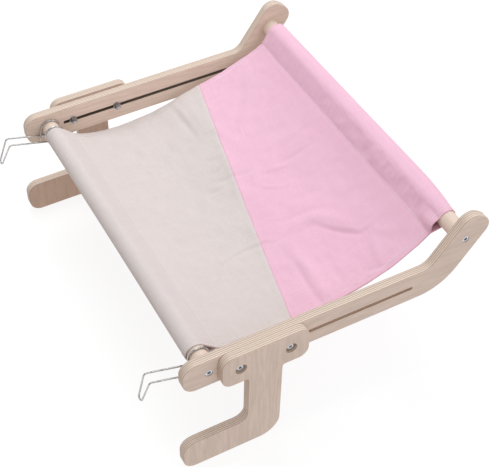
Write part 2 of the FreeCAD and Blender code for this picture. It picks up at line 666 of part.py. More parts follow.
def make_sling():
    """Cloth sling as two sewn panels, each with an open sleeve round its dowel."""
    half = dim("ClothThickness") / 2
    upper, lower = sag_curve(half), sag_curve(-half)
    width = dim("SlingLeft") - dim("SlingRight")
    outline = Part.Wire([
        upper.toShape(),
        Part.LineSegment(upper.EndPoint, lower.EndPoint).toShape(),
        lower.toShape(),
        Part.LineSegment(lower.StartPoint, upper.StartPoint).toShape(),
    ])
    cloth = doc.addObject("Part::Feature", "sling_sag")
    cloth.Shape = Part.Face(outline).extrude(Vector(0, width, 0))
    place(cloth, y="Dims.SlingRight")

    whole = cloth
    inside = "Dims.DowelRadius + Dims.SleeveGap"
    for end, x, z in (("rear", "0", "Dims.RailCentre"),
                      ("front", "Dims.FrontDowelX", "Dims.FrontDowelZ")):
        sleeve = make_ring(end + "_sleeve", inside + " + Dims.ClothThickness", inside,
                           "Dims.SlingLeft - Dims.SlingRight")
        place(sleeve, x=x, y="Dims.SlingRight", z=z, about_x=-90.0)
        whole = fuse("sling_with_%s_sleeve" % end, whole, sleeve)

    cutter = doc.addObject("Part::Box", "seam_cutter")
    cutter.Placement = FreeCAD.Placement(Vector(), Rotation(Vector(0, 0, 1), -dim("SeamAngle")))
    half_size = "Dims.CutterSize / 2"
    bind(cutter, {
        "Length": "Dims.CutterSize",
        "Width": "Dims.CutterSize",
        "Height": "Dims.CutterSize",
        "Placement.Base.x": "Dims.FrameShift + Dims.SeamCentre - %s * sin(Dims.SeamAngle * 1 deg)" % half_size,
        "Placement.Base.y": "-%s * cos(Dims.SeamAngle * 1 deg)" % half_size,
        "Placement.Base.z": "-" + half_size,
    })
    front = doc.addObject("Part::Common", "sling_front_panel")
    front.Base, front.Tool = whole, cutter
    keep(front, "sling_front_panel")
    keep(cut("sling_rear_panel", whole, cutter), "sling_rear_panel")


# ---------------------------------------------------------------- assembly

def centre_on_origin():
    """Sets the shift that centres the whole object on X = 0."""
    boxes = [part.Shape.optimalBoundingBox(False, False) for part in parts]
    low = min(box.XMin for box in boxes)
    high = max(box.XMax for box in boxes)
    cell = sheet.getCellFromAlias("FrameShift")
    sheet.set(cell, "%.3f" % (-(low + high) / 2))
    doc.recompute()


def check_and_export():
    """Stops on any failed object, then writes one STEP file for each sub-part."""
    for obj in doc.Objects:
        if "Invalid" in obj.State or "Error" in obj.State:
            raise RuntimeError("%s failed: %s" % (obj.Label, obj.State))
    for part in parts:
        if part.Shape.isNull() or not part.Shape.isValid():
            raise RuntimeError("%s has no valid shape" % part.Label)
    os.makedirs("parts", exist_ok=True)
    for part in parts:
        part.Shape.exportStep("parts/%s.step" % part.Label)


fill_sheet()
for side in ("right", "left"):
    make_rail(side)
    make_bracket(side)
    make_hook(side)
dowel_places = (("rear", "0", "Dims.RailCentre"), ("front", "Dims.FrontDowelX", "Dims.FrontDowelZ"))
for end, x, z in dowel_places:
    make_dowel(end, x, z)
    for side in ("right", "left"):
        make_dowel_fastening(side, end, x, z)
for side in ("right", "left"):
    for end, along in (("rear", "0"), ("front", "Dims.BoltSpacing")):
        make_bracket_fastening(side, end, along)
make_sling()
doc.recompute()
centre_on_origin()
check_and_export()

for part in sorted(parts, key=lambda item: item.Label):
    box = part.Shape.optimalBoundingBox(False, False)
    print("%-30s solids %d  volume %9.1f  X %.1f..%.1f  Y %.1f..%.1f  Z %.1f..%.1f" % (
        part.Label, len(part.Shape.Solids), part.Shape.Volume,
        box.XMin, box.XMax, box.YMin, box.YMax, box.ZMin, box.ZMax))
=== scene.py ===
"""Looks of the cat window perch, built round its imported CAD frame.

The plywood, dowels, fasteners and wire hooks are the CAD's own meshes with
procedural materials. The sling's two plain CAD panels are replaced by sewn
cloth: two sheets with sleeves, hems, a slanted seam, stitches and soft folds.
The scene is in metres in the CAD's frame. The sling is worked out in mm, where
"run" is the distance along X from the rear dowel's axis.
"""
import math

import bpy
import numpy as np
from mathutils import Matrix, Vector


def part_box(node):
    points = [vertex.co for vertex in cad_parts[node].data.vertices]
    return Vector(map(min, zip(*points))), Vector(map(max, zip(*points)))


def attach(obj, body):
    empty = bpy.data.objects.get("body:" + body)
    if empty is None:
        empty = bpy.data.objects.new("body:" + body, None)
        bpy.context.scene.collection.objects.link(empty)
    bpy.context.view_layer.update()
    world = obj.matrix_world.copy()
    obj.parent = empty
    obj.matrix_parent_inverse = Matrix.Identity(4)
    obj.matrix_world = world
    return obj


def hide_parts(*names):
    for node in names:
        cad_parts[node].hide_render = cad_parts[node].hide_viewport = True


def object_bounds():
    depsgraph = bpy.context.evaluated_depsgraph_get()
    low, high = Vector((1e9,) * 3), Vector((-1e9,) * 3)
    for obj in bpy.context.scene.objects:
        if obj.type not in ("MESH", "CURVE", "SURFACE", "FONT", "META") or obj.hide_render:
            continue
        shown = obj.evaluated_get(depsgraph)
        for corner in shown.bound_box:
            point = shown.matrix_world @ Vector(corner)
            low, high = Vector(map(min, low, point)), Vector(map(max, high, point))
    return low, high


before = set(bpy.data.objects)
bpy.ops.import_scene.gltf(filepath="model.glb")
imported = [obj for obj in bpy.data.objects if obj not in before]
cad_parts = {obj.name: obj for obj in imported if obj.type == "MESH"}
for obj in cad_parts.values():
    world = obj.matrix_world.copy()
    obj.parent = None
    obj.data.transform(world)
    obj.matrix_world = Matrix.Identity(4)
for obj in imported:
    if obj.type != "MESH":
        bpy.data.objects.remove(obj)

MM = 0.001
cad_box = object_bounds()


def dowel_axis(node):
    """X and Z of a dowel's axis, and its radius."""
    low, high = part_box(node)
    return (low.x + high.x) / 2, (low.z + high.z) / 2, (high.z - low.z) / 2


REAR_X, REAR_Z, DOWEL_R = dowel_axis("rear_dowel")
FRONT_X, FRONT_Z, _ = dowel_axis("front_dowel")
RAIL_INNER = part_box("left_rail")[0].y
RAIL_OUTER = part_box("left_rail")[1].y
PLY_THICKNESS = RAIL_OUTER - RAIL_INNER
SLOT_Z = sum(corner.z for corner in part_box("left_rear_bracket_bolt")) / 2


def mesh_piece(name, points, faces, material):
    """A smooth-shaded mesh object in the scene, with one material."""
    mesh = bpy.data.meshes.new(name)
    mesh.from_pydata(points, [], faces)
    mesh.polygons.foreach_set("use_smooth", np.ones(len(faces), bool))
    mesh.update()
    piece = bpy.data.objects.new(name, mesh)
    bpy.context.scene.collection.objects.link(piece)
    paint(piece, material)
    return piece


def paint(piece, material):
    """Makes the material the piece's only one."""
    piece.data.materials.clear()
    piece.data.materials.append(material)


# ------------------------------------------------------------ node materials

class Graph:
    """Short-hand for one procedural node material."""

    def __init__(self, name):
        self.material = bpy.data.materials.new(name)
        self.material.use_nodes = True
        self.nodes = self.material.node_tree.nodes
        self.links = self.material.node_tree.links
        self.nodes.clear()
        self.shader = self.node("ShaderNodeBsdfPrincipled")
        output = self.node("ShaderNodeOutputMaterial")
        self.links.new(self.shader.outputs[0], output.inputs["Surface"])

    def node(self, kind, **settings):
        made = self.nodes.new(kind)
        for key, value in settings.items():
            setattr(made, key, value)
        return made

    def put(self, socket, value):
        """Links an output to a socket, or sets the socket's own value."""
        if isinstance(value, bpy.types.NodeSocket):
            self.links.new(value, socket)
        elif value is not None:
            socket.default_value = value

    def finish(self, **values):
        """Sets the shader's sockets and returns the material."""
        for key, value in values.items():
            self.put(self.shader.inputs[key.replace("_", " ")], value)
        return self.material

    def math(self, operation, a, b=None, c=None):
        made = self.node("ShaderNodeMath", operation=operation)
        for socket, value in zip(made.inputs, (a, b, c)):
            self.put(socket, value)
        return made.outputs[0]

    def place(self, which="Object"):
        return self.node("ShaderNodeTexCoord").outputs[which]

    def attribute(self, name):
        return self.node("ShaderNodeAttribute", attribute_name=name).outputs["Vector"]

    def split(self, vector):
        made = self.node("ShaderNodeSeparateXYZ")
        self.put(made.inputs[0], vector)
        return made.outputs

    def join(self, x, y, z):
        made = self.node("ShaderNodeCombineXYZ")
        for socket, value in zip(made.inputs, (x, y, z)):
            self.put(socket, value)
        return made.outputs[0]

    def scaled(self, vector, scale, offset=(0, 0, 0)):
        made = self.node("ShaderNodeMapping")
        self.put(made.inputs["Vector"], vector)
        self.put(made.inputs["Scale"], scale)
        self.put(made.inputs["Location"], offset)
        return made.outputs[0]

    def noise(self, vector, scale=1.0, detail=3.0, roughness=0.55):
        made = self.node("ShaderNodeTexNoise")
        self.put(made.inputs["Vector"], vector)
        self.put(made.inputs["Scale"], scale)
        self.put(made.inputs["Detail"], detail)
        self.put(made.inputs["Roughness"], roughness)
        return made.outputs["Fac"]

    def step(self, value, low, high, to_low=0.0, to_high=1.0):
        """Smooth step of a value from low to high."""
        made = self.node("ShaderNodeMapRange", interpolation_type="SMOOTHSTEP")
        for socket, number in zip(made.inputs, (value, low, high, to_low, to_high)):
            self.put(socket, number)
        return made.outputs[0]

    def mix(self, factor, a, b, blend="MIX"):
        made = self.node("ShaderNodeMix", data_type="RGBA", blend_type=blend)
        for name, value in (("Factor_Float", factor), ("A_Color", a), ("B_Color", b)):
            socket = next(s for s in made.inputs if s.identifier == name)
            self.put(socket, (*value, 1) if isinstance(value, tuple) else value)
        return next(s for s in made.outputs if s.identifier == "Result_Color")

    def tone(self, color, value, strength):
        """Lightens and darkens a colour by a 0 to 1 value round 0.5."""
        gain = self.math("MULTIPLY_ADD", value, 2 * strength, 1 - strength)
        grey = self.join(gain, gain, gain)
        return self.mix(1.0, color, grey, "MULTIPLY")

    def bump(self, height, distance):
        made = self.node("ShaderNodeBump")
        self.put(made.inputs["Height"], height)
        self.put(made.inputs["Distance"], distance)
        return made.outputs[0]


PLIES = 9
SLOT_EDGE = (0.0032, 0.0045)    # how far above and below its middle the slot's walls end
SLOT_START = REAR_X + 0.02      # the slot begins in front of the rear dowel's bolt


def plywood(name, inner_face, upright, face_tint_and_shade, seed, painted_slot_shade=None):
    """Birch plywood: veneer grain on the faces, stacked plies on the edges.

    The inner face is its distance from the XZ plane. The slot shade is painted shade: how much of
    its colour the rail's slot keeps, darkened as the slot's deep gap looks in shade.
    """
    g = Graph(name)
    place = g.place()
    x, y, z = g.split(place)
    face = g.step(g.math("ABSOLUTE", g.split(g.place("Normal"))[1]), 0.62, 0.9)
    if upright:             # the veneer's grain runs up instead of along the rail
        place = g.join(z, y, x)

    # Veneer: slow tone, flowing growth lines, fine streaks and short pores.
    veneer = g.mix(g.noise(g.scaled(place, (5, 1, 14), (seed, 0, 0))),
                   (0.765, 0.625, 0.540), (0.870, 0.725, 0.636))
    figure = g.noise(g.scaled(place, (2.4, 1, 17), (seed * 3, 0, seed)), detail=4.0)
    lines = g.math("SINE", g.math("MULTIPLY", figure, 85.0))
    veneer = g.tone(veneer, g.step(lines, -1.0, 1.0), 0.035)
    streaks = g.noise(g.scaled(place, (16, 1, 620), (seed, 0, 0)), detail=2.0)
    veneer = g.tone(veneer, streaks, 0.11)
    pores = g.noise(g.scaled(place, (75, 1, 2400), (0, 0, seed)), detail=1.0)
    pore = g.step(pores, 0.66, 0.76)
    veneer = g.mix(g.math("MULTIPLY", pore, 0.35), veneer, (0.42, 0.29, 0.21))

    # Edge: every other ply is end grain, with dark glue between them.
    depth = g.math("DIVIDE", g.math("SUBTRACT", g.math("ABSOLUTE", y), inner_face),
                   PLY_THICKNESS)
    wander = g.noise(g.scaled(place, (26, 26, 26), (seed, seed, 0)), detail=2.0)
    level = g.math("ADD", g.math("MULTIPLY", depth, PLIES),
                   g.math("MULTIPLY_ADD", wander, 0.36, -0.18))
    number = g.math("FLOOR", level)
    within = g.math("ABSOLUTE", g.math("SUBTRACT", g.math("FRACT", level), 0.5))
    end_grain = g.math("MODULO", g.math("ADD", number, 1.0), 2.0)
    cuts = g.noise(g.scaled(place, (420, 900, 420), (seed, 0, 0)), detail=3.0)
    along = g.noise(g.scaled(place, (30, 1500, 30), (0, 0, seed)), detail=2.0)
    long_ply = g.tone(g.mix(along, (0.74, 0.63, 0.535), (0.83, 0.715, 0.62)), cuts, 0.06)
    end_ply = g.tone(g.mix(cuts, (0.47, 0.34, 0.255), (0.66, 0.525, 0.425)), along, 0.10)
    plies = g.mix(end_grain, long_ply, end_ply)
    apart = g.math("MULTIPLY", number, 7.31)    # gives every ply a tone of its own
    plies = g.tone(plies, g.noise(g.join(apart, seed, 0.5), scale=3.0, detail=0.0), 0.16)
    glue = g.step(within, 0.38, 0.5)
    plies = g.mix(g.math("MULTIPLY", glue, 0.55), plies, (0.25, 0.15, 0.10))
    if upright:             # the rim against the rail lies in the shadow of the joint
        plies = g.mix(g.step(depth, 0.02, 0.10, 0.8, 0.0), plies, (0.15, 0.08, 0.05))
    # Painted shade: the slot's walls are darkened like a deep gap in shade, far more on the left
    # rail.
    if painted_slot_shade:
        off_slot = g.math("ABSOLUTE", g.math("SUBTRACT", z, SLOT_Z))
        in_slot = g.math("MULTIPLY", g.step(off_slot, *SLOT_EDGE, 1.0, 0.0),
                         g.step(x, SLOT_START, SLOT_START + 0.005))
        shade = (painted_slot_shade, painted_slot_shade * 0.9, painted_slot_shade * 0.8)
        plies = g.mix(in_slot, plies, g.mix(1.0, plies, shade, "MULTIPLY"))

    # The face tint darkens the veneer faces only; on the left bracket it is painted shade.
    color = g.mix(face, plies, g.mix(1.0, veneer, face_tint_and_shade, "MULTIPLY"))
    relief = g.mix(face, g.math("SUBTRACT", cuts, g.math("MULTIPLY", glue, 0.6)),
                   g.math("SUBTRACT", streaks, g.math("MULTIPLY", pore, 0.8)))
    rough = g.step(g.noise(g.scaled(place, (40, 40, 90))), 0.3, 0.7, 0.50, 0.62)
    return g.finish(Base_Color=color, Roughness=rough, Normal=g.bump(relief, 0.00012),
                    Specular_IOR_Level=0.35, Coat_Weight=0.06, Coat_Roughness=0.45)


def dowel_wood(name, seed):
    """Pale turned hardwood with its grain along Y."""
    g = Graph(name)
    place = g.place()
    streaks = g.noise(g.scaled(place, (420, 9, 420), (seed, 0, 0)), detail=3.0)
    flecks = g.noise(g.scaled(place, (1500, 70, 1500), (0, seed, 0)), detail=1.0)
    color = g.mix(streaks, (0.70, 0.545, 0.44), (0.85, 0.73, 0.64))
    color = g.mix(g.step(flecks, 0.62, 0.74, 0.0, 0.3), color, (0.50, 0.33, 0.21))
    return g.finish(Base_Color=color, Roughness=g.step(streaks, 0.3, 0.7, 0.42, 0.58),
                    Normal=g.bump(streaks, 0.0001), Specular_IOR_Level=0.4)


def metal(name, light, dark, rough, grain, depth):
    """Bare or plated metal with a fine directional grain and faint marks."""
    g = Graph(name)
    place = g.place()
    fine = g.noise(g.scaled(place, grain), detail=3.0)
    marks = g.noise(place, scale=320.0, detail=2.0)
    color = g.mix(g.step(marks, 0.3, 0.75), light, dark)
    return g.finish(Base_Color=color, Metallic=1.0,
                    Roughness=g.step(fine, 0.25, 0.75, rough * 0.75, rough * 1.35),
                    Normal=g.bump(fine, depth))


THREAD_PITCH = 0.75 * MM
SLUB = 0.07                     # how much the threads' uneven thickness shows


def canvas(name, light, dark, sheen):
    """Plain-woven canvas. The cloth attribute holds metres along and across."""
    g = Graph(name)
    cloth = g.attribute("cloth")
    along, across, _ = g.split(cloth)
    pitch = 2 * math.pi / THREAD_PITCH
    warp = g.math("SINE", g.math("MULTIPLY", across, pitch))
    weft = g.math("SINE", g.math("MULTIPLY", along, pitch))
    weave = g.math("MULTIPLY_ADD", g.math("MULTIPLY", warp, weft), 0.5, 0.5)
    thick_warp = g.noise(g.scaled(cloth, (22, 1250, 1)), detail=2.0)
    thick_weft = g.noise(g.scaled(cloth, (1250, 22, 1), (3, 7, 0)), detail=2.0)
    melange = g.noise(g.scaled(cloth, (260, 260, 1)), detail=4.0, roughness=0.7)
    cloudy = g.noise(g.scaled(cloth, (11, 11, 1), (1, 2, 0)), detail=3.0)
    color = g.mix(cloudy, dark, light)
    color = g.tone(color, thick_warp, SLUB)
    color = g.tone(color, thick_weft, SLUB)
    color = g.tone(color, melange, SLUB * 0.8)
    color = g.tone(color, weave, 0.05)
    threads = g.math("ADD", g.math("MULTIPLY", weave, 0.6),
                     g.math("ADD", g.math("MULTIPLY", thick_warp, 0.9),
                            g.math("MULTIPLY", thick_weft, 0.9)))
    return g.finish(Base_Color=color, Roughness=0.92, Specular_IOR_Level=0.18,
                    Sheen_Weight=sheen, Sheen_Roughness=0.45,
                    Normal=g.bump(threads, 0.00022))


def thread(name, light, dark):
    """Sewing thread, twisted from two strands."""
    g = Graph(name)
    twist = g.noise(g.place(), scale=2600.0, detail=1.0)
    return g.finish(Base_Color=g.mix(twist, dark, light), Roughness=0.7,
                    Sheen_Weight=0.2, Normal=g.bump(twist, 0.0001))


pink = canvas("pink_canvas", (0.915, 0.575, 0.715), (0.880, 0.530, 0.675), 0.25)
beige = canvas("beige_canvas", (0.749, 0.682, 0.662), (0.706, 0.638, 0.622), 0.2)
pink_thread = thread("pink_thread", (0.98, 0.86, 0.92), (0.93, 0.76, 0.84))
beige_thread = thread("beige_thread", (0.83, 0.79, 0.76), (0.72, 0.67, 0.65))
zinc = metal("zinc_plate", (0.70, 0.73, 0.77), (0.50, 0.53, 0.58), 0.26,
             (900, 900, 900), 0.00004)
nut_steel = metal("nut_steel", (0.46, 0.45, 0.45), (0.27, 0.26, 0.26), 0.30,
                  (700, 700, 700), 0.00005)
wire = metal("plated_wire", (0.60, 0.595, 0.59), (0.40, 0.395, 0.39), 0.22,
             (300, 2200, 900), 0.00002)
insert_brass = metal("turned_brass", (0.80, 0.60, 0.28), (0.62, 0.43, 0.17), 0.30,
                     (900, 1500, 900), 0.00005)


def dress_cad_nodes():
    """Gives every CAD node that stays in view its material."""
    # Tints of the faces. The left bracket's darker, warmer tint is painted shade for the far
    # bracket, which stands in shade under the sling; the left rail's faces are a little warmer.
    # The slot shade is painted shade for the dark gap of each slot, far more on the left rail.
    sides = {"right": dict(rail=(1.0, 1.0, 1.0), bracket=(1.0, 1.0, 1.0), painted_slot_shade=0.95),
             "left": dict(rail=(1.0, 0.97, 0.93), bracket=(0.80, 0.71, 0.65), painted_slot_shade=0.30)}
    for number, (side, look) in enumerate(sides.items(), start=1):
        paint(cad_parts[side + "_rail"],
              plywood(side + "_rail_plywood", RAIL_INNER, False, look["rail"],
                      3.7 * number, look["painted_slot_shade"]))
        paint(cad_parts[side + "_bracket"],
              plywood(side + "_bracket_plywood", RAIL_OUTER, True, look["bracket"],
                      11.3 * number))
    for number, node in enumerate(("rear_dowel", "front_dowel"), start=1):
        paint(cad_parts[node], dowel_wood(node + "_wood", 5.0 * number))
    for node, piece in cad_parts.items():
        if node.endswith("_wire_hook"):
            paint(piece, wire)
        elif node.endswith("_bolt"):
            paint(piece, zinc)
        elif node.endswith(("_washer", "_nut")):
            paint(piece, nut_steel)
        elif node.endswith("_insert"):
            paint(piece, insert_brass)


# ------------------------------------------------------------ the sling's shape

# Heights of the cloth over its run, at the right and the left edge, in mm.
# The right edge hangs lower.
RIGHT_SAG = [(30, 157.5), (46, 150), (64, 145.5), (106, 139.5), (150, 139.5), (197, 145.5),
             (245, 154.6), (276, 164), (306, 177), (335, 195), (349, 206)]
LEFT_SAG = [(30, 157.5), (46, 150.5), (64, 146.5), (106, 141.3), (140, 144), (174, 150.5),
            (210, 160.5), (245, 169.5), (280, 180), (313, 192.5), (333, 200.5), (349, 208)]
MIDDLE_SAG = 2.0            # how much lower the middle hangs than its edges, in mm
REAR_STITCH, FRONT_STITCH = 30.0, 349.0   # run of the sleeves' stitch lines, in mm
SEAM_MIDDLE, SEAM_SLANT = 190.0, 0.21     # run of the seam on the centreline, and its slant
RIGHT_EDGE, LEFT_EDGE = (-227.0, -221.0), (231.0, 234.5)   # Y at the rear and front dowel
CLOTH = 1.0                 # thickness of the cloth, in mm
HEM_WIDTH, HEM_PLIES = 9.0, 1.1           # side hems, and what they add under the cloth
STEP = 2.2                  # mesh spacing, in mm
SEAM_ROWS = np.array([1.8, 0.9, 0.4, 0.0])   # closer rows beside the seam, in mm from it
SEAM_GAP = 3.0              # where the evenly spaced rows end, in mm from the seam
SLEEVE_RADIUS = DOWEL_R / MM + 0.25 + CLOTH / 2
RUN = (FRONT_X - REAR_X) / MM


def smooth_curve(points, at):
    """Smooth curve through the points, evaluated at the given places."""
    px, py = (np.array(v, float) for v in zip(*points))
    slopes = np.gradient(py, px)
    at = np.clip(at, px[0], px[-1])
    i = np.clip(np.searchsorted(px, at) - 1, 0, len(px) - 2)
    width = px[i + 1] - px[i]
    t = (at - px[i]) / width
    return ((2 * t**3 - 3 * t**2 + 1) * py[i] + (t**3 - 2 * t**2 + t) * width * slopes[i]
            + (3 * t**2 - 2 * t**3) * py[i + 1] + (t**3 - t**2) * width * slopes[i + 1])


def edge_y(run, edges):
    return edges[0] + (edges[1] - edges[0]) * run / RUN


def sag_height(run, y):
    """Height of the hanging cloth at a run and Y, in mm."""
    low, high = edge_y(run, RIGHT_EDGE), edge_y(run, LEFT_EDGE)
    v = np.clip((y - low) / (high - low), 0, 1)
    between = np.clip((run - REAR_STITCH) / (FRONT_STITCH - REAR_STITCH), 0, 1)
    height = (1 - v) * smooth_curve(RIGHT_SAG, run) + v * smooth_curve(LEFT_SAG, run)
    return height - MIDDLE_SAG * 4 * v * (1 - v) * 4 * between * (1 - between)


def seam_run(y):
    return SEAM_MIDDLE + SEAM_SLANT * y


# Folds as lines of (run, Y) in mm. "ridge" is the height over the line and
# "lean" the height of a crest on one side and a hollow on the other; "wide" is
# the half width.
FOLDS = [
    # front panel: long crease across the middle in two strands, and its short neighbour
    dict(line=[(226, 30), (246, 21), (259, 17), (275, 12)], ridge=0.9, lean=0.35, wide=2.8),
    dict(line=[(256, 28), (278, 23), (295, 22), (316, 18)], ridge=-1.2, lean=0.35, wide=3.0),
    dict(line=[(193, 50), (212, 41), (232, 33)], ridge=-0.9, lean=0.2, wide=3.0),
    dict(line=[(219, 9), (233, -7), (249, -16)], ridge=0.8, lean=0.45, wide=2.8),
    # front panel: the slack near the right edge, a ridge with a sharp crease beside it
    dict(line=[(201, -61), (220, -68), (241, -73), (260, -78), (272, -84)],
         ridge=-1.0, lean=0.0, wide=3.4),
    dict(line=[(210, -80), (234, -85), (258, -91), (271, -106), (282, -124), (291, -138)],
         ridge=3.0, lean=0.0, wide=9.0),
    dict(line=[(250, -96), (259, -112), (271, -129), (282, -141), (289, -149), (303, -150)],
         ridge=-0.7, lean=1.5, wide=4.2),
    dict(line=[(298, -151), (306, -166), (312, -180), (327, -190)],
         ridge=-0.3, lean=0.45, wide=6.5),
    dict(line=[(295, -172), (290, -196), (283, -214)], ridge=1.9, lean=0.0, wide=5.5),
    dict(line=[(289, -170), (281, -196)], ridge=-0.2, lean=0.4, wide=3.2),
    dict(line=[(262, -203), (275, -211), (288, -217)], ridge=-1.2, lean=0.0, wide=3.2),
    dict(line=[(236, -155), (232, -185), (234, -212)], ridge=-0.9, lean=0.3, wide=6.0),
    # a fold across the seam, that turns towards the right edge
    dict(line=[(112, -87), (142, -81), (160, -82), (178, -84), (194, -93)],
         ridge=-0.5, lean=0.95, wide=3.8),
    dict(line=[(190, -90), (200, -114), (203, -139), (204, -165)], ridge=1.3, lean=0.0, wide=9.5),
    dict(line=[(202, -130), (204, -155), (203, -178), (202, -200), (201, -222)],
         ridge=2.6, lean=0.0, wide=7.0),
    dict(line=[(197, -128), (196, -150), (193, -180), (192, -205), (192, -226)],
         ridge=-0.5, lean=0.8, wide=4.5),
    # front panel: broad soft waves towards the left edge
    dict(line=[(300, 195), (280, 165), (255, 135), (240, 105)], ridge=-1.1, lean=0.6, wide=9.0),
    dict(line=[(325, 170), (296, 140), (276, 110)], ridge=1.1, lean=0.0, wide=9.0),
    dict(line=[(225, 190), (222, 150), (232, 110), (240, 80)], ridge=0.6, lean=-0.5, wide=8.0),
    dict(line=[(240, 60), (290, 55), (330, 70)], ridge=0.6, lean=0.4, wide=8.0),
    dict(line=[(225, -42), (262, -48), (290, -58)], ridge=-0.7, lean=0.0, wide=5.0),
    # the middle of the seam stands up a little, with puckers across it
    dict(line=[(218, 136), (209, 99), (203, 66), (197, 34), (193, 0)],
         ridge=1.7, lean=0.0, wide=9.0),
    dict(line=[(172, 53), (186, 48), (204, 44)], ridge=-1.4, lean=0.3, wide=3.4),
    dict(line=[(172, 71), (183, 68), (199, 73)], ridge=-1.2, lean=0.3, wide=3.4),
    dict(line=[(180, 96), (190, 90), (204, 86)], ridge=-1.0, lean=0.2, wide=3.2),
    dict(line=[(150, 45), (168, 38), (184, 34)], ridge=-0.6, lean=0.4, wide=5.0),
    # rear panel: hollow beside the left end of the seam, and creases
    dict(line=[(206, 234), (207, 199), (208, 168), (205, 134)], ridge=1.8, lean=0.0, wide=9.0),
    dict(line=[(186, 232), (190, 208), (191, 185), (192, 164), (192, 136)],
         ridge=-0.3, lean=1.3, wide=5.5),
    dict(line=[(165, 229), (150, 222), (140, 205)], ridge=-0.9, lean=0.4, wide=3.6),
    dict(line=[(101, 62), (85, 28), (86, 2)], ridge=-1.2, lean=0.6, wide=3.4),
    dict(line=[(81, 84), (71, 23), (82, -2), (96, -26)], ridge=-0.6, lean=0.4, wide=5.0),
    dict(line=[(94, 141), (98, 120), (90, 91)], ridge=-0.7, lean=0.3, wide=3.8),
    dict(line=[(16, -163), (32, -178)], ridge=-0.9, lean=0.5, wide=3.2),
    dict(line=[(106, -80), (104, -104), (87, -134), (76, -160)], ridge=-0.6, lean=0.4, wide=5.0),
    dict(line=[(60, 205), (90, 190), (130, 200)], ridge=-0.6, lean=0.4, wide=6.0),
]


def spread_line(points, count=90):
    """Many evenly numbered points on a smooth line through a few."""
    numbers = np.arange(len(points), dtype=float)
    at = np.linspace(0, len(points) - 1, count)
    return np.stack([smooth_curve(list(zip(numbers, [p[k] for p in points])), at)
                     for k in (0, 1)], 1)


def fold_height(run, y):
    """Height that all the folds add at each run and Y, in mm."""
    total = np.zeros(run.shape)
    here = np.stack([run.ravel(), y.ravel()], 1)
    for fold in FOLDS:
        line = spread_line(fold["line"])
        reach = 4 * fold["wide"]
        near = np.all((here > line.min(0) - reach) & (here < line.max(0) + reach), axis=1)
        if not near.any():
            continue
        gap = here[near][:, None, :] - line[None]
        nearest = np.argmin((gap**2).sum(2), axis=1)
        way = np.gradient(line, axis=0)[nearest]
        way /= np.linalg.norm(way, axis=1)[:, None]
        gap = gap[np.arange(len(nearest)), nearest]
        distance = np.linalg.norm(gap, axis=1) / fold["wide"]
        side = (way[:, 0] * gap[:, 1] - way[:, 1] * gap[:, 0]) / fold["wide"]
        share = nearest / (len(line) - 1.0)
        fade = np.sin(np.pi * np.clip(share, 0.03, 0.97)) ** 0.6    # towards both ends
        shape = np.exp(-distance**2) * (fold["ridge"] + 2.3 * fold["lean"] * side)
        flat = total.ravel()
        flat[near] += shape * fade
        total = flat.reshape(run.shape)
    return total


def value_noise(x, y, seed):
    """Smooth noise from -1 to 1 on a unit grid, the same for the same seed."""
    side = 64
    table = np.random.RandomState(seed).uniform(-1, 1, (side, side))
    ix, iy = np.floor(x).astype(int), np.floor(y).astype(int)
    fx, fy = x - ix, y - iy
    fx, fy = fx**3 * (fx * (6 * fx - 15) + 10), fy**3 * (fy * (6 * fy - 15) + 10)

    def corner(a, b):
        return table[(ix + a) % side, (iy + b) % side]

    return ((corner(0, 0) * (1 - fx) + corner(1, 0) * fx) * (1 - fy)
            + (corner(0, 1) * (1 - fx) + corner(1, 1) * fx) * fy)


def softness(run, y):
    """Small uneven swells of limp cloth, in mm."""
    return (1.0 * value_noise(run / 70, y / 85, 1) + 0.8 * value_noise(run / 33, y / 38, 2)
            + 0.60 * value_noise(run / 16, y / 18, 3) + 0.28 * value_noise(run / 8, y / 9, 4))


def puckers(along_line, distance, seed, strength, reach=9.0):
    """Little gathers that a row of stitches draws into the cloth."""
    wave = value_noise(along_line / 6.5, along_line * 0 + 0.5, seed)
    return strength * wave * np.exp(-np.abs(distance) / reach)


def tangent_angles(centre, point):
    """Angle from a dowel to its stitch line, and how far to each side the cloth leaves."""
    dx, dz = point[0] - centre[0], point[1] - centre[1]
    towards, away = math.atan2(dz, dx), math.hypot(dx, dz)
    spread = math.acos(SLEEVE_RADIUS / away)
    return towards, spread


def sleeve_arc(centre, start, end, count, slack, hangs):
    """Points of a sleeve round its dowel, from one angle to another.

    A slack sleeve is a wider ring that hangs to one side, at an angle in
    degrees, and rests on the dowel's top. The slack is how far its outline
    stands off, in mm.
    """
    angle = np.linspace(start, end, count)
    shift, ring = 0.777 * slack, SLEEVE_RADIUS + 0.41 * slack
    lean = angle - math.radians(hangs)
    wide = shift * np.cos(lean) + np.sqrt(ring**2 - (shift * np.sin(lean)) ** 2)
    off = wide - SLEEVE_RADIUS
    radius = SLEEVE_RADIUS + 0.5 * (off + np.sqrt(off**2 + 0.1))    # rounded where they meet
    return centre[0] + radius * np.cos(angle), centre[1] + radius * np.sin(angle)


REAR_CENTRE, FRONT_CENTRE = (0.0, REAR_Z / MM), (RUN, FRONT_Z / MM)
REAR_HANGS, FRONT_HANGS = 200.0, -20.6    # where each slack sleeve stands off furthest
LAYER = 1.3 * CLOTH         # from the upper to the lower layer at a stitch line, in mm


def rear_loop(stitch, slack):
    """(run, height) of the rear sleeve, from under its stitch line round to above it."""
    towards, spread = tangent_angles(REAR_CENTRE, stitch)
    below, above = towards - spread, towards + spread
    arc = sleeve_arc(REAR_CENTRE, below, above - 2 * math.pi, 40, slack, REAR_HANGS)
    run = np.concatenate([np.linspace(stitch[0], arc[0][0], 10)[:-1], arc[0],
                          np.linspace(arc[0][-1], stitch[0], 10)[1:-1]])
    under = np.linspace(stitch[1] - LAYER, arc[1][0], 10)[:-1]
    over = np.linspace(arc[1][-1], stitch[1], 10)[1:-1]
    return run, np.concatenate([under, arc[1], over])


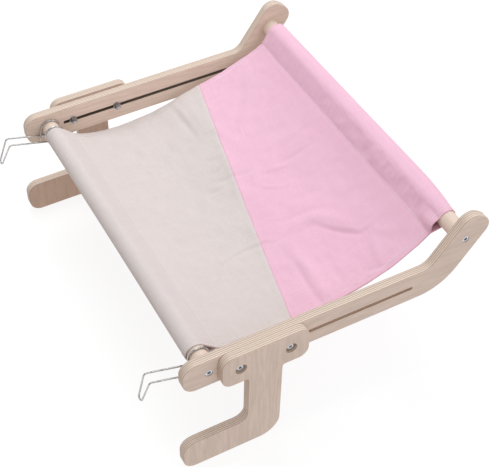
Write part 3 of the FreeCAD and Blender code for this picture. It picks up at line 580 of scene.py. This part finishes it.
def front_loop(stitch, hollow, slack):
    """(run, height) of the front sleeve, from above its stitch line round to under it."""
    towards, spread = tangent_angles(FRONT_CENTRE, stitch)
    above, below = towards - spread, towards + spread
    if above < 0:
        above, below = above + 2 * math.pi, below + 2 * math.pi
    arc = sleeve_arc(FRONT_CENTRE, above, below - 2 * math.pi, 50, slack, FRONT_HANGS)
    rise_run, rise_height = arc[0][0] - stitch[0], arc[1][0] - stitch[1]
    length = math.hypot(rise_run, rise_height)
    t = np.linspace(0, 1, 14)[1:-1]
    dip = hollow * np.sin(np.pi * t) / length
    run = np.concatenate([stitch[0] + rise_run * t + dip * rise_height, arc[0],
                          np.linspace(arc[0][-1], stitch[0], 10)[1:]])
    height = np.concatenate([stitch[1] + rise_height * t - dip * rise_run, arc[1],
                             np.linspace(arc[1][-1], stitch[1] - LAYER, 10)[1:]])
    return run, height


def column_places():
    """Shares across the sling, closer together at the hems."""
    width = LEFT_EDGE[0] - RIGHT_EDGE[0]
    hem = np.array([0, 0.5, 1.4, 3.0, 5.5, 7.6, 8.6, 9.4, 10.6])
    inner = np.linspace(13, width - 13, int(width / STEP))
    places = np.concatenate([hem, inner, (width - hem)[::-1]])
    return places / width


def across(run, share):
    low, high = edge_y(run, RIGHT_EDGE), edge_y(run, LEFT_EDGE)
    return low + (high - low) * share


# Over Y: how far the cloth sinks between the front stitch line and the dowel,
# and how far each sleeve stands off its dowel, in mm.
FRONT_HOLLOW = [(-230, -7.5), (-213, -5.6), (-192, -1.2), (-152, 0.3), (-95, 0.0), (-40, -0.3),
                (40, -0.3), (120, -0.3), (240, -0.3)]
FRONT_SLACK = [(-230, 0.2), (-216, 0.8), (-196, 3.4), (-160, 6.2), (-120, 6.6), (-60, 6.0),
               (40, 5.2), (140, 4.5), (240, 3.8)]
REAR_SLACK = [(-230, 1.3), (-150, 0.9), (-40, 0.3), (90, 0.0), (240, 0.0)]


def lay_panel(which):
    """Mid-surface grid of one panel (rows along the run, columns across), in mm.

    Also says which of its rows hang freely, from the seam to the stitch line.
    """
    stitch_run = REAR_STITCH if which == "rear" else FRONT_STITCH
    count = int(abs(stitch_run - SEAM_MIDDLE) / STEP)
    columns = []
    for share in column_places():
        seam = seam_run(across(SEAM_MIDDLE, share))
        y_stitch = across(stitch_run, share)
        stitch = (stitch_run, float(sag_height(np.array(stitch_run), np.array(y_stitch))))
        if which == "rear":
            loop = rear_loop(stitch, smooth_curve(REAR_SLACK, y_stitch))
            run = np.append(np.linspace(stitch_run, seam - SEAM_GAP, count), seam - SEAM_ROWS)
        else:
            loop = front_loop(stitch, smooth_curve(FRONT_HOLLOW, y_stitch),
                              smooth_curve(FRONT_SLACK, y_stitch))
            run = np.append(seam + SEAM_ROWS[::-1],
                            np.linspace(seam + SEAM_GAP, stitch_run, count))
        hung = (run, sag_height(run, across(run, share)))
        parts = (loop, hung) if which == "rear" else (hung, loop)
        run, height = (np.concatenate([part[k] for part in parts]) for k in range(2))
        hanging = np.concatenate([np.full(len(part[0]), part is hung) for part in parts])
        columns.append((run, across(run, share), height))
    return np.stack([np.stack(column, 1) for column in columns], 1), hanging


def normals_of(grid):
    """Unit normals of a grid of points, up on the hanging part."""
    rows, columns = np.gradient(grid, axis=0), np.gradient(grid, axis=1)
    normal = np.cross(rows, columns)
    return normal / np.maximum(np.linalg.norm(normal, axis=2, keepdims=True), 1e-9)


def relief(which, grid, hanging):
    """How far each point moves along its normal, in mm."""
    run, y = grid[..., 0], grid[..., 1]
    from_seam = run - seam_run(y)
    free = np.clip(np.minimum(run - REAR_STITCH, FRONT_STITCH - run) / 25.0, 0, 1)
    moved = (fold_height(run, y) + softness(run, y)) * (0.25 + 0.75 * free)
    moved = moved + puckers(y, from_seam, 5, 0.45)
    moved = moved - 0.9 * np.exp(-(from_seam / 0.75) ** 2)
    if which == "rear":     # the pressed seam allowance lies under this side
        allowance = np.clip((from_seam + 9.0) / 2.5, 0, 1) * np.clip(-from_seam / 3.0, 0, 1)
        moved = moved + 0.3 * allowance
    moved = moved * hanging[:, None]
    # A stitch line draws in the upper layer only.
    beside = run - (REAR_STITCH if which == "rear" else FRONT_STITCH)
    upper_from = REAR_CENTRE[1] if which == "rear" else FRONT_CENTRE[1] - 12.0
    upper = hanging[:, None] | (grid[..., 2] > upper_from)
    line = -0.4 * np.exp(-(beside / 1.8) ** 2) + puckers(y, beside, 8, 0.30)
    moved = moved + np.where(upper, line, 0.0)
    if which == "front":
        moved = moved + front_sleeve_wrinkles(grid, hanging)
    return moved


def front_sleeve_wrinkles(grid, hanging):
    """Slanting gathers on the steep cloth between the front stitch line and the dowel."""
    run, y, height = grid[..., 0], grid[..., 1], grid[..., 2]
    band_foot, band_height = 208.5, 23.0
    up = np.clip((height - band_foot) / band_height, 0, 1)
    elsewhere = hanging[:, None] | (run > RUN - 3) | (height < band_foot - 5.5)
    slant = y + 2 * up
    wave = (value_noise(slant / 14.0, up * 1.1, 20) + 0.8 * value_noise(slant / 8.0, up * 1.7, 21)
            + 0.4 * value_noise(slant / 4.6, up * 2.3, 22))
    strength = 0.5 + 0.9 * np.exp(-((y + 90) / 110.0) ** 2)
    return wave * strength * np.sin(np.pi * up) ** 0.8 * ~elsewhere


def in_frame(points):
    """Points of (run, Y, height) in mm as a list in the frame's metres."""
    points = np.array(points) * MM
    points[:, 0] += REAR_X
    return points.tolist()


def sheet_piece(name, grid, cloth, under, material):
    """Closed cloth of even thickness from a mid-surface; hems hang below it."""
    normal = normals_of(grid)
    top = grid + normal * CLOTH / 2
    bottom = grid - normal * (CLOTH / 2 + under[..., None])
    rows, columns = grid.shape[:2]
    count = rows * columns
    index = np.arange(count).reshape(rows, columns)
    a, b, c, d = index[:-1, :-1], index[1:, :-1], index[1:, 1:], index[:-1, 1:]
    upper = np.stack([a, b, c, d], 2).reshape(-1, 4)
    lower = np.stack([a, d, c, b], 2).reshape(-1, 4) + count
    rims = []
    for line in (index[:, 0], index[-1, :], index[::-1, -1], index[0, ::-1]):
        rims.append(np.stack([line[1:], line[:-1], line[:-1] + count, line[1:] + count], 1))
    faces = np.concatenate([upper, lower] + rims)
    points = np.concatenate([top.reshape(-1, 3), bottom.reshape(-1, 3)])
    piece = mesh_piece(name, in_frame(points), faces.tolist(), material)
    attribute = piece.data.attributes.new("cloth", "FLOAT_VECTOR", "POINT")
    both = np.concatenate([cloth.reshape(-1, 2)] * 2) * MM
    attribute.data.foreach_set("vector", np.column_stack([both, np.zeros(len(both))]).ravel())
    return piece


def cloth_places(grid):
    """Millimetres along the cloth and across it, for the weave."""
    steps = np.linalg.norm(np.diff(grid, axis=0), axis=2)
    along = np.concatenate([np.zeros((1, grid.shape[1])), np.cumsum(steps, axis=0)])
    return np.stack([along, grid[..., 1]], 2)


def hem_depth(grid):
    """What the folded side hems add under the cloth, in mm."""
    y, run = grid[..., 1], grid[..., 0]
    inside = np.minimum(y - edge_y(run, RIGHT_EDGE), edge_y(run, LEFT_EDGE) - y)
    return HEM_PLIES * np.clip((HEM_WIDTH + 0.6 - inside) / 1.2, 0, 1)


def make_panel(which, material):
    """One panel in place of its CAD node, with its grid and its hanging rows."""
    grid, hanging = lay_panel(which)
    moved = relief(which, grid, hanging)
    grid = grid + normals_of(grid) * moved[..., None]
    piece = sheet_piece("sling_%s_cloth" % which, grid, cloth_places(grid), hem_depth(grid),
                        material)
    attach(piece, "frame")
    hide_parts("sling_%s_panel" % which)
    return piece, grid, hanging


# ------------------------------------------------------------ stitches

STITCH_PITCH, STITCH_LENGTH, STITCH_RADIUS = 3.4, 2.7, 0.55     # in mm
STITCH_SIDES = 6
STITCH_PROFILE = [(-0.5, 0.25), (-0.33, 0.85), (0.0, 1.0), (0.33, 0.85), (0.5, 0.25)]


def stitch_row(name, points, normals, material, slot):
    """One row of sewing stitches, half sunk into the cloth, along a line of points in mm."""
    steps = np.linalg.norm(np.diff(points, axis=0), axis=1)
    at = np.concatenate([[0], np.cumsum(steps)])
    verts, faces = [], []
    sides, last = STITCH_SIDES, len(STITCH_PROFILE) - 1
    ring = [(math.cos(a), math.sin(a)) for a in np.linspace(0, 2 * math.pi, sides + 1)[:-1]]
    for centre in np.arange(STITCH_PITCH, at[-1] - STITCH_PITCH / 2, STITCH_PITCH):
        spot = np.array([np.interp(centre, at, points[:, k]) for k in range(3)])
        ahead = np.array([np.interp(centre + 1.0, at, points[:, k]) for k in range(3)])
        up = np.array([np.interp(centre, at, normals[:, k]) for k in range(3)])
        way = (ahead - spot) / np.linalg.norm(ahead - spot)
        up = up - way * up.dot(way)
        up /= np.linalg.norm(up)
        beside = np.cross(way, up)
        base = len(verts)
        for place, size in STITCH_PROFILE:
            thick = STITCH_RADIUS * size
            middle = (spot + way * place * STITCH_LENGTH
                      + up * (0.18 - 0.42 * (2 * place) ** 2))      # its ends dive in
            for c, s in ring:
                verts.append(middle + beside * c * thick + up * s * thick * 0.8)
        for k in range(last):
            low, high = base + sides * k, base + sides * (k + 1)
            for j in range(sides):
                after = (j + 1) % sides
                faces.append((low + j, low + after, high + after, high + j))
        faces.append(tuple(base + j for j in reversed(range(sides))))
        faces.append(tuple(base + sides * last + j for j in range(sides)))
    piece = mesh_piece(name, in_frame(verts), faces, material)
    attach(piece, "frame")
    return piece


def row_on(grid, row):
    """Top-surface points and normals of one grid row."""
    normal = normals_of(grid)
    return grid[row] + normal[row] * CLOTH / 2, normal[row]


def row_beside_hem(grid, inset, side):
    """Top-surface points and normals along a side hem, at an inset from the edge in mm."""
    normal = normals_of(grid)
    top = grid + normal * CLOTH / 2
    y, run = grid[..., 1], grid[..., 0]
    inside = y - edge_y(run, RIGHT_EDGE) if side == "right" else edge_y(run, LEFT_EDGE) - y
    columns = range(grid.shape[1]) if side == "right" else reversed(range(grid.shape[1]))
    order = list(columns)[:14]      # enough columns to span the hem
    spots, ups = [], []
    for row in range(grid.shape[0]):
        gaps = inside[row, order]
        spots.append([np.interp(inset, gaps, top[row, order, k]) for k in range(3)])
        ups.append([np.interp(inset, gaps, normal[row, order, k]) for k in range(3)])
    return np.array(spots), np.array(ups)


def sew_panel(which, grid, hanging, material, slot):
    """Rows of stitches on one panel: along its sleeve and its two hems."""
    rows = np.flatnonzero(hanging)
    sleeve_row = rows[0] if which == "rear" else rows[-1]
    pieces = [stitch_row("sling_%s_sleeve_stitches" % which, *row_on(grid, sleeve_row),
                         material, slot)]
    for side in ("right", "left"):
        line = row_beside_hem(grid, HEM_WIDTH - 1.6, side)
        pieces.append(stitch_row("sling_%s_%s_hem_stitches" % (which, side), *line,
                                 material, slot))
    return pieces


# ------------------------------------------------------------ floor, light, camera

# Radius and height of the floor and of the backdrop that it curves up into, in metres.
FLOOR_PROFILE = [(5.0, 0.0)]
BACKDROP_PROFILE = [(5.0, 0.0), (5.5, 0.03), (5.9, 0.13), (6.2, 0.32), (6.4, 0.6), (6.5, 1.0),
                    (6.5, 6.0)]


def turned_stage(name, profile, material):
    """A stage piece turned round the Z axis, at the level the object stands on.

    A profile of one point makes a flat disc.
    """
    level, turns = cad_box[0].z, 72
    points = [(radius * math.cos(2 * math.pi * k / turns),
               radius * math.sin(2 * math.pi * k / turns), level + height)
              for radius, height in profile for k in range(turns)]
    faces = [(turns * j + k, turns * j + (k + 1) % turns,
              turns * (j + 1) + (k + 1) % turns, turns * (j + 1) + k)
             for j in range(len(profile) - 1) for k in range(turns)]
    piece = mesh_piece(name, points, faces or [tuple(range(turns))], material)
    piece.visible_diffuse = False
    return piece


def make_floor():
    """Plain pale floor and backdrop that also glow a little, so that shadows stay faint."""
    g = Graph("floor_paint")
    faint = g.noise(g.place(), scale=3.0)
    g.finish(Base_Color=g.mix(faint, (0.20, 0.20, 0.20), (0.22, 0.22, 0.22)), Roughness=0.9,
             Specular_IOR_Level=0.0, Emission_Color=(1, 1, 1, 1), Emission_Strength=0.84)
    turned_stage("floor", FLOOR_PROFILE, g.material)
    backdrop = turned_stage("backdrop", BACKDROP_PROFILE, g.material)
    backdrop.visible_glossy = False
    backdrop.visible_shadow = False


def area_light(name, place, size, power, color=(1, 1, 1)):
    """A square light that points at the middle of the sling."""
    light = bpy.data.lights.new(name, "AREA")
    light.shape = "SQUARE"
    light.size = size
    light.energy = power
    light.color = color
    lamp = bpy.data.objects.new(name, light)
    lamp.location = place
    way = Vector((0, 0, 0.15)) - Vector(place)
    lamp.rotation_euler = way.to_track_quat("-Z", "Y").to_euler()
    bpy.context.scene.collection.objects.link(lamp)


def make_lights():
    """Soft light from above and in front, and a pale sky that is dim and warm below."""
    area_light("key_light", (2.2, 0.2, 1.95), 0.9, 11.6)
    area_light("top_light", (0.3, 1.2, 2.3), 1.5, 28.0)
    area_light("fill_light", (0.2, -2.4, 1.25), 1.4, 6.0, (0.97, 0.985, 1.0))
    world = bpy.data.worlds.new("studio")
    world.use_nodes = True
    nodes, links = world.node_tree.nodes, world.node_tree.links
    way = nodes.new("ShaderNodeSeparateXYZ")
    links.new(nodes.new("ShaderNodeTexCoord").outputs["Generated"], way.inputs[0])
    level = nodes.new("ShaderNodeMapRange")
    links.new(way.outputs["Z"], level.inputs["Value"])
    for name, value in (("From Min", -0.42), ("From Max", 0.28)):
        level.inputs[name].default_value = value
    sky = nodes.new("ShaderNodeMix")
    sky.data_type = "RGBA"
    links.new(level.outputs[0], sky.inputs["Factor"])
    colors = {"A_Color": (0.50, 0.42, 0.37, 1), "B_Color": (0.64, 0.64, 0.646, 1)}
    for socket in sky.inputs:
        if socket.identifier in colors:
            socket.default_value = colors[socket.identifier]
    background = nodes["Background"]
    links.new(next(o for o in sky.outputs if o.identifier == "Result_Color"),
              background.inputs["Color"])
    background.inputs["Strength"].default_value = 1.0
    bpy.context.scene.world = world


def make_camera():
    """Camera at the photograph's viewing angle: from the right, behind and above."""
    azimuth, elevation, roll = (math.radians(v) for v in (-28.2, 48.25, 0.33))
    back = Vector((math.sin(azimuth) * math.cos(elevation),
                   -math.cos(azimuth) * math.cos(elevation), math.sin(elevation)))
    camera = bpy.data.objects.new("camera", bpy.data.cameras.new("camera"))
    camera.location = (REAR_X - 0.3813, -1.0223, 1.2912)
    turn = (-back).to_track_quat("-Z", "Y").to_matrix().to_4x4()
    camera.rotation_mode = "QUATERNION"
    camera.rotation_quaternion = (turn @ Matrix.Rotation(roll, 4, "Z")).to_quaternion()
    camera.data.sensor_width = 36.0
    camera.data.lens = 84.56
    camera.data.shift_x, camera.data.shift_y = 0.0346, 0.0917
    camera.data.clip_start, camera.data.clip_end = 0.05, 20.0
    bpy.context.scene.collection.objects.link(camera)
    bpy.context.scene.camera = camera


# ------------------------------------------------------------ the whole scene

make_camera()
make_lights()
make_floor()
dress_cad_nodes()

rear_cloth, rear_grid, rear_hanging = make_panel("rear", beige)
front_cloth, front_grid, front_hanging = make_panel("front", pink)
rear_rows = sew_panel("rear", rear_grid, rear_hanging, beige_thread, "beige_cloth")
front_rows = sew_panel("front", front_grid, front_hanging, pink_thread, "pink_cloth")

bpy.context.scene.view_settings.view_transform = "Standard"
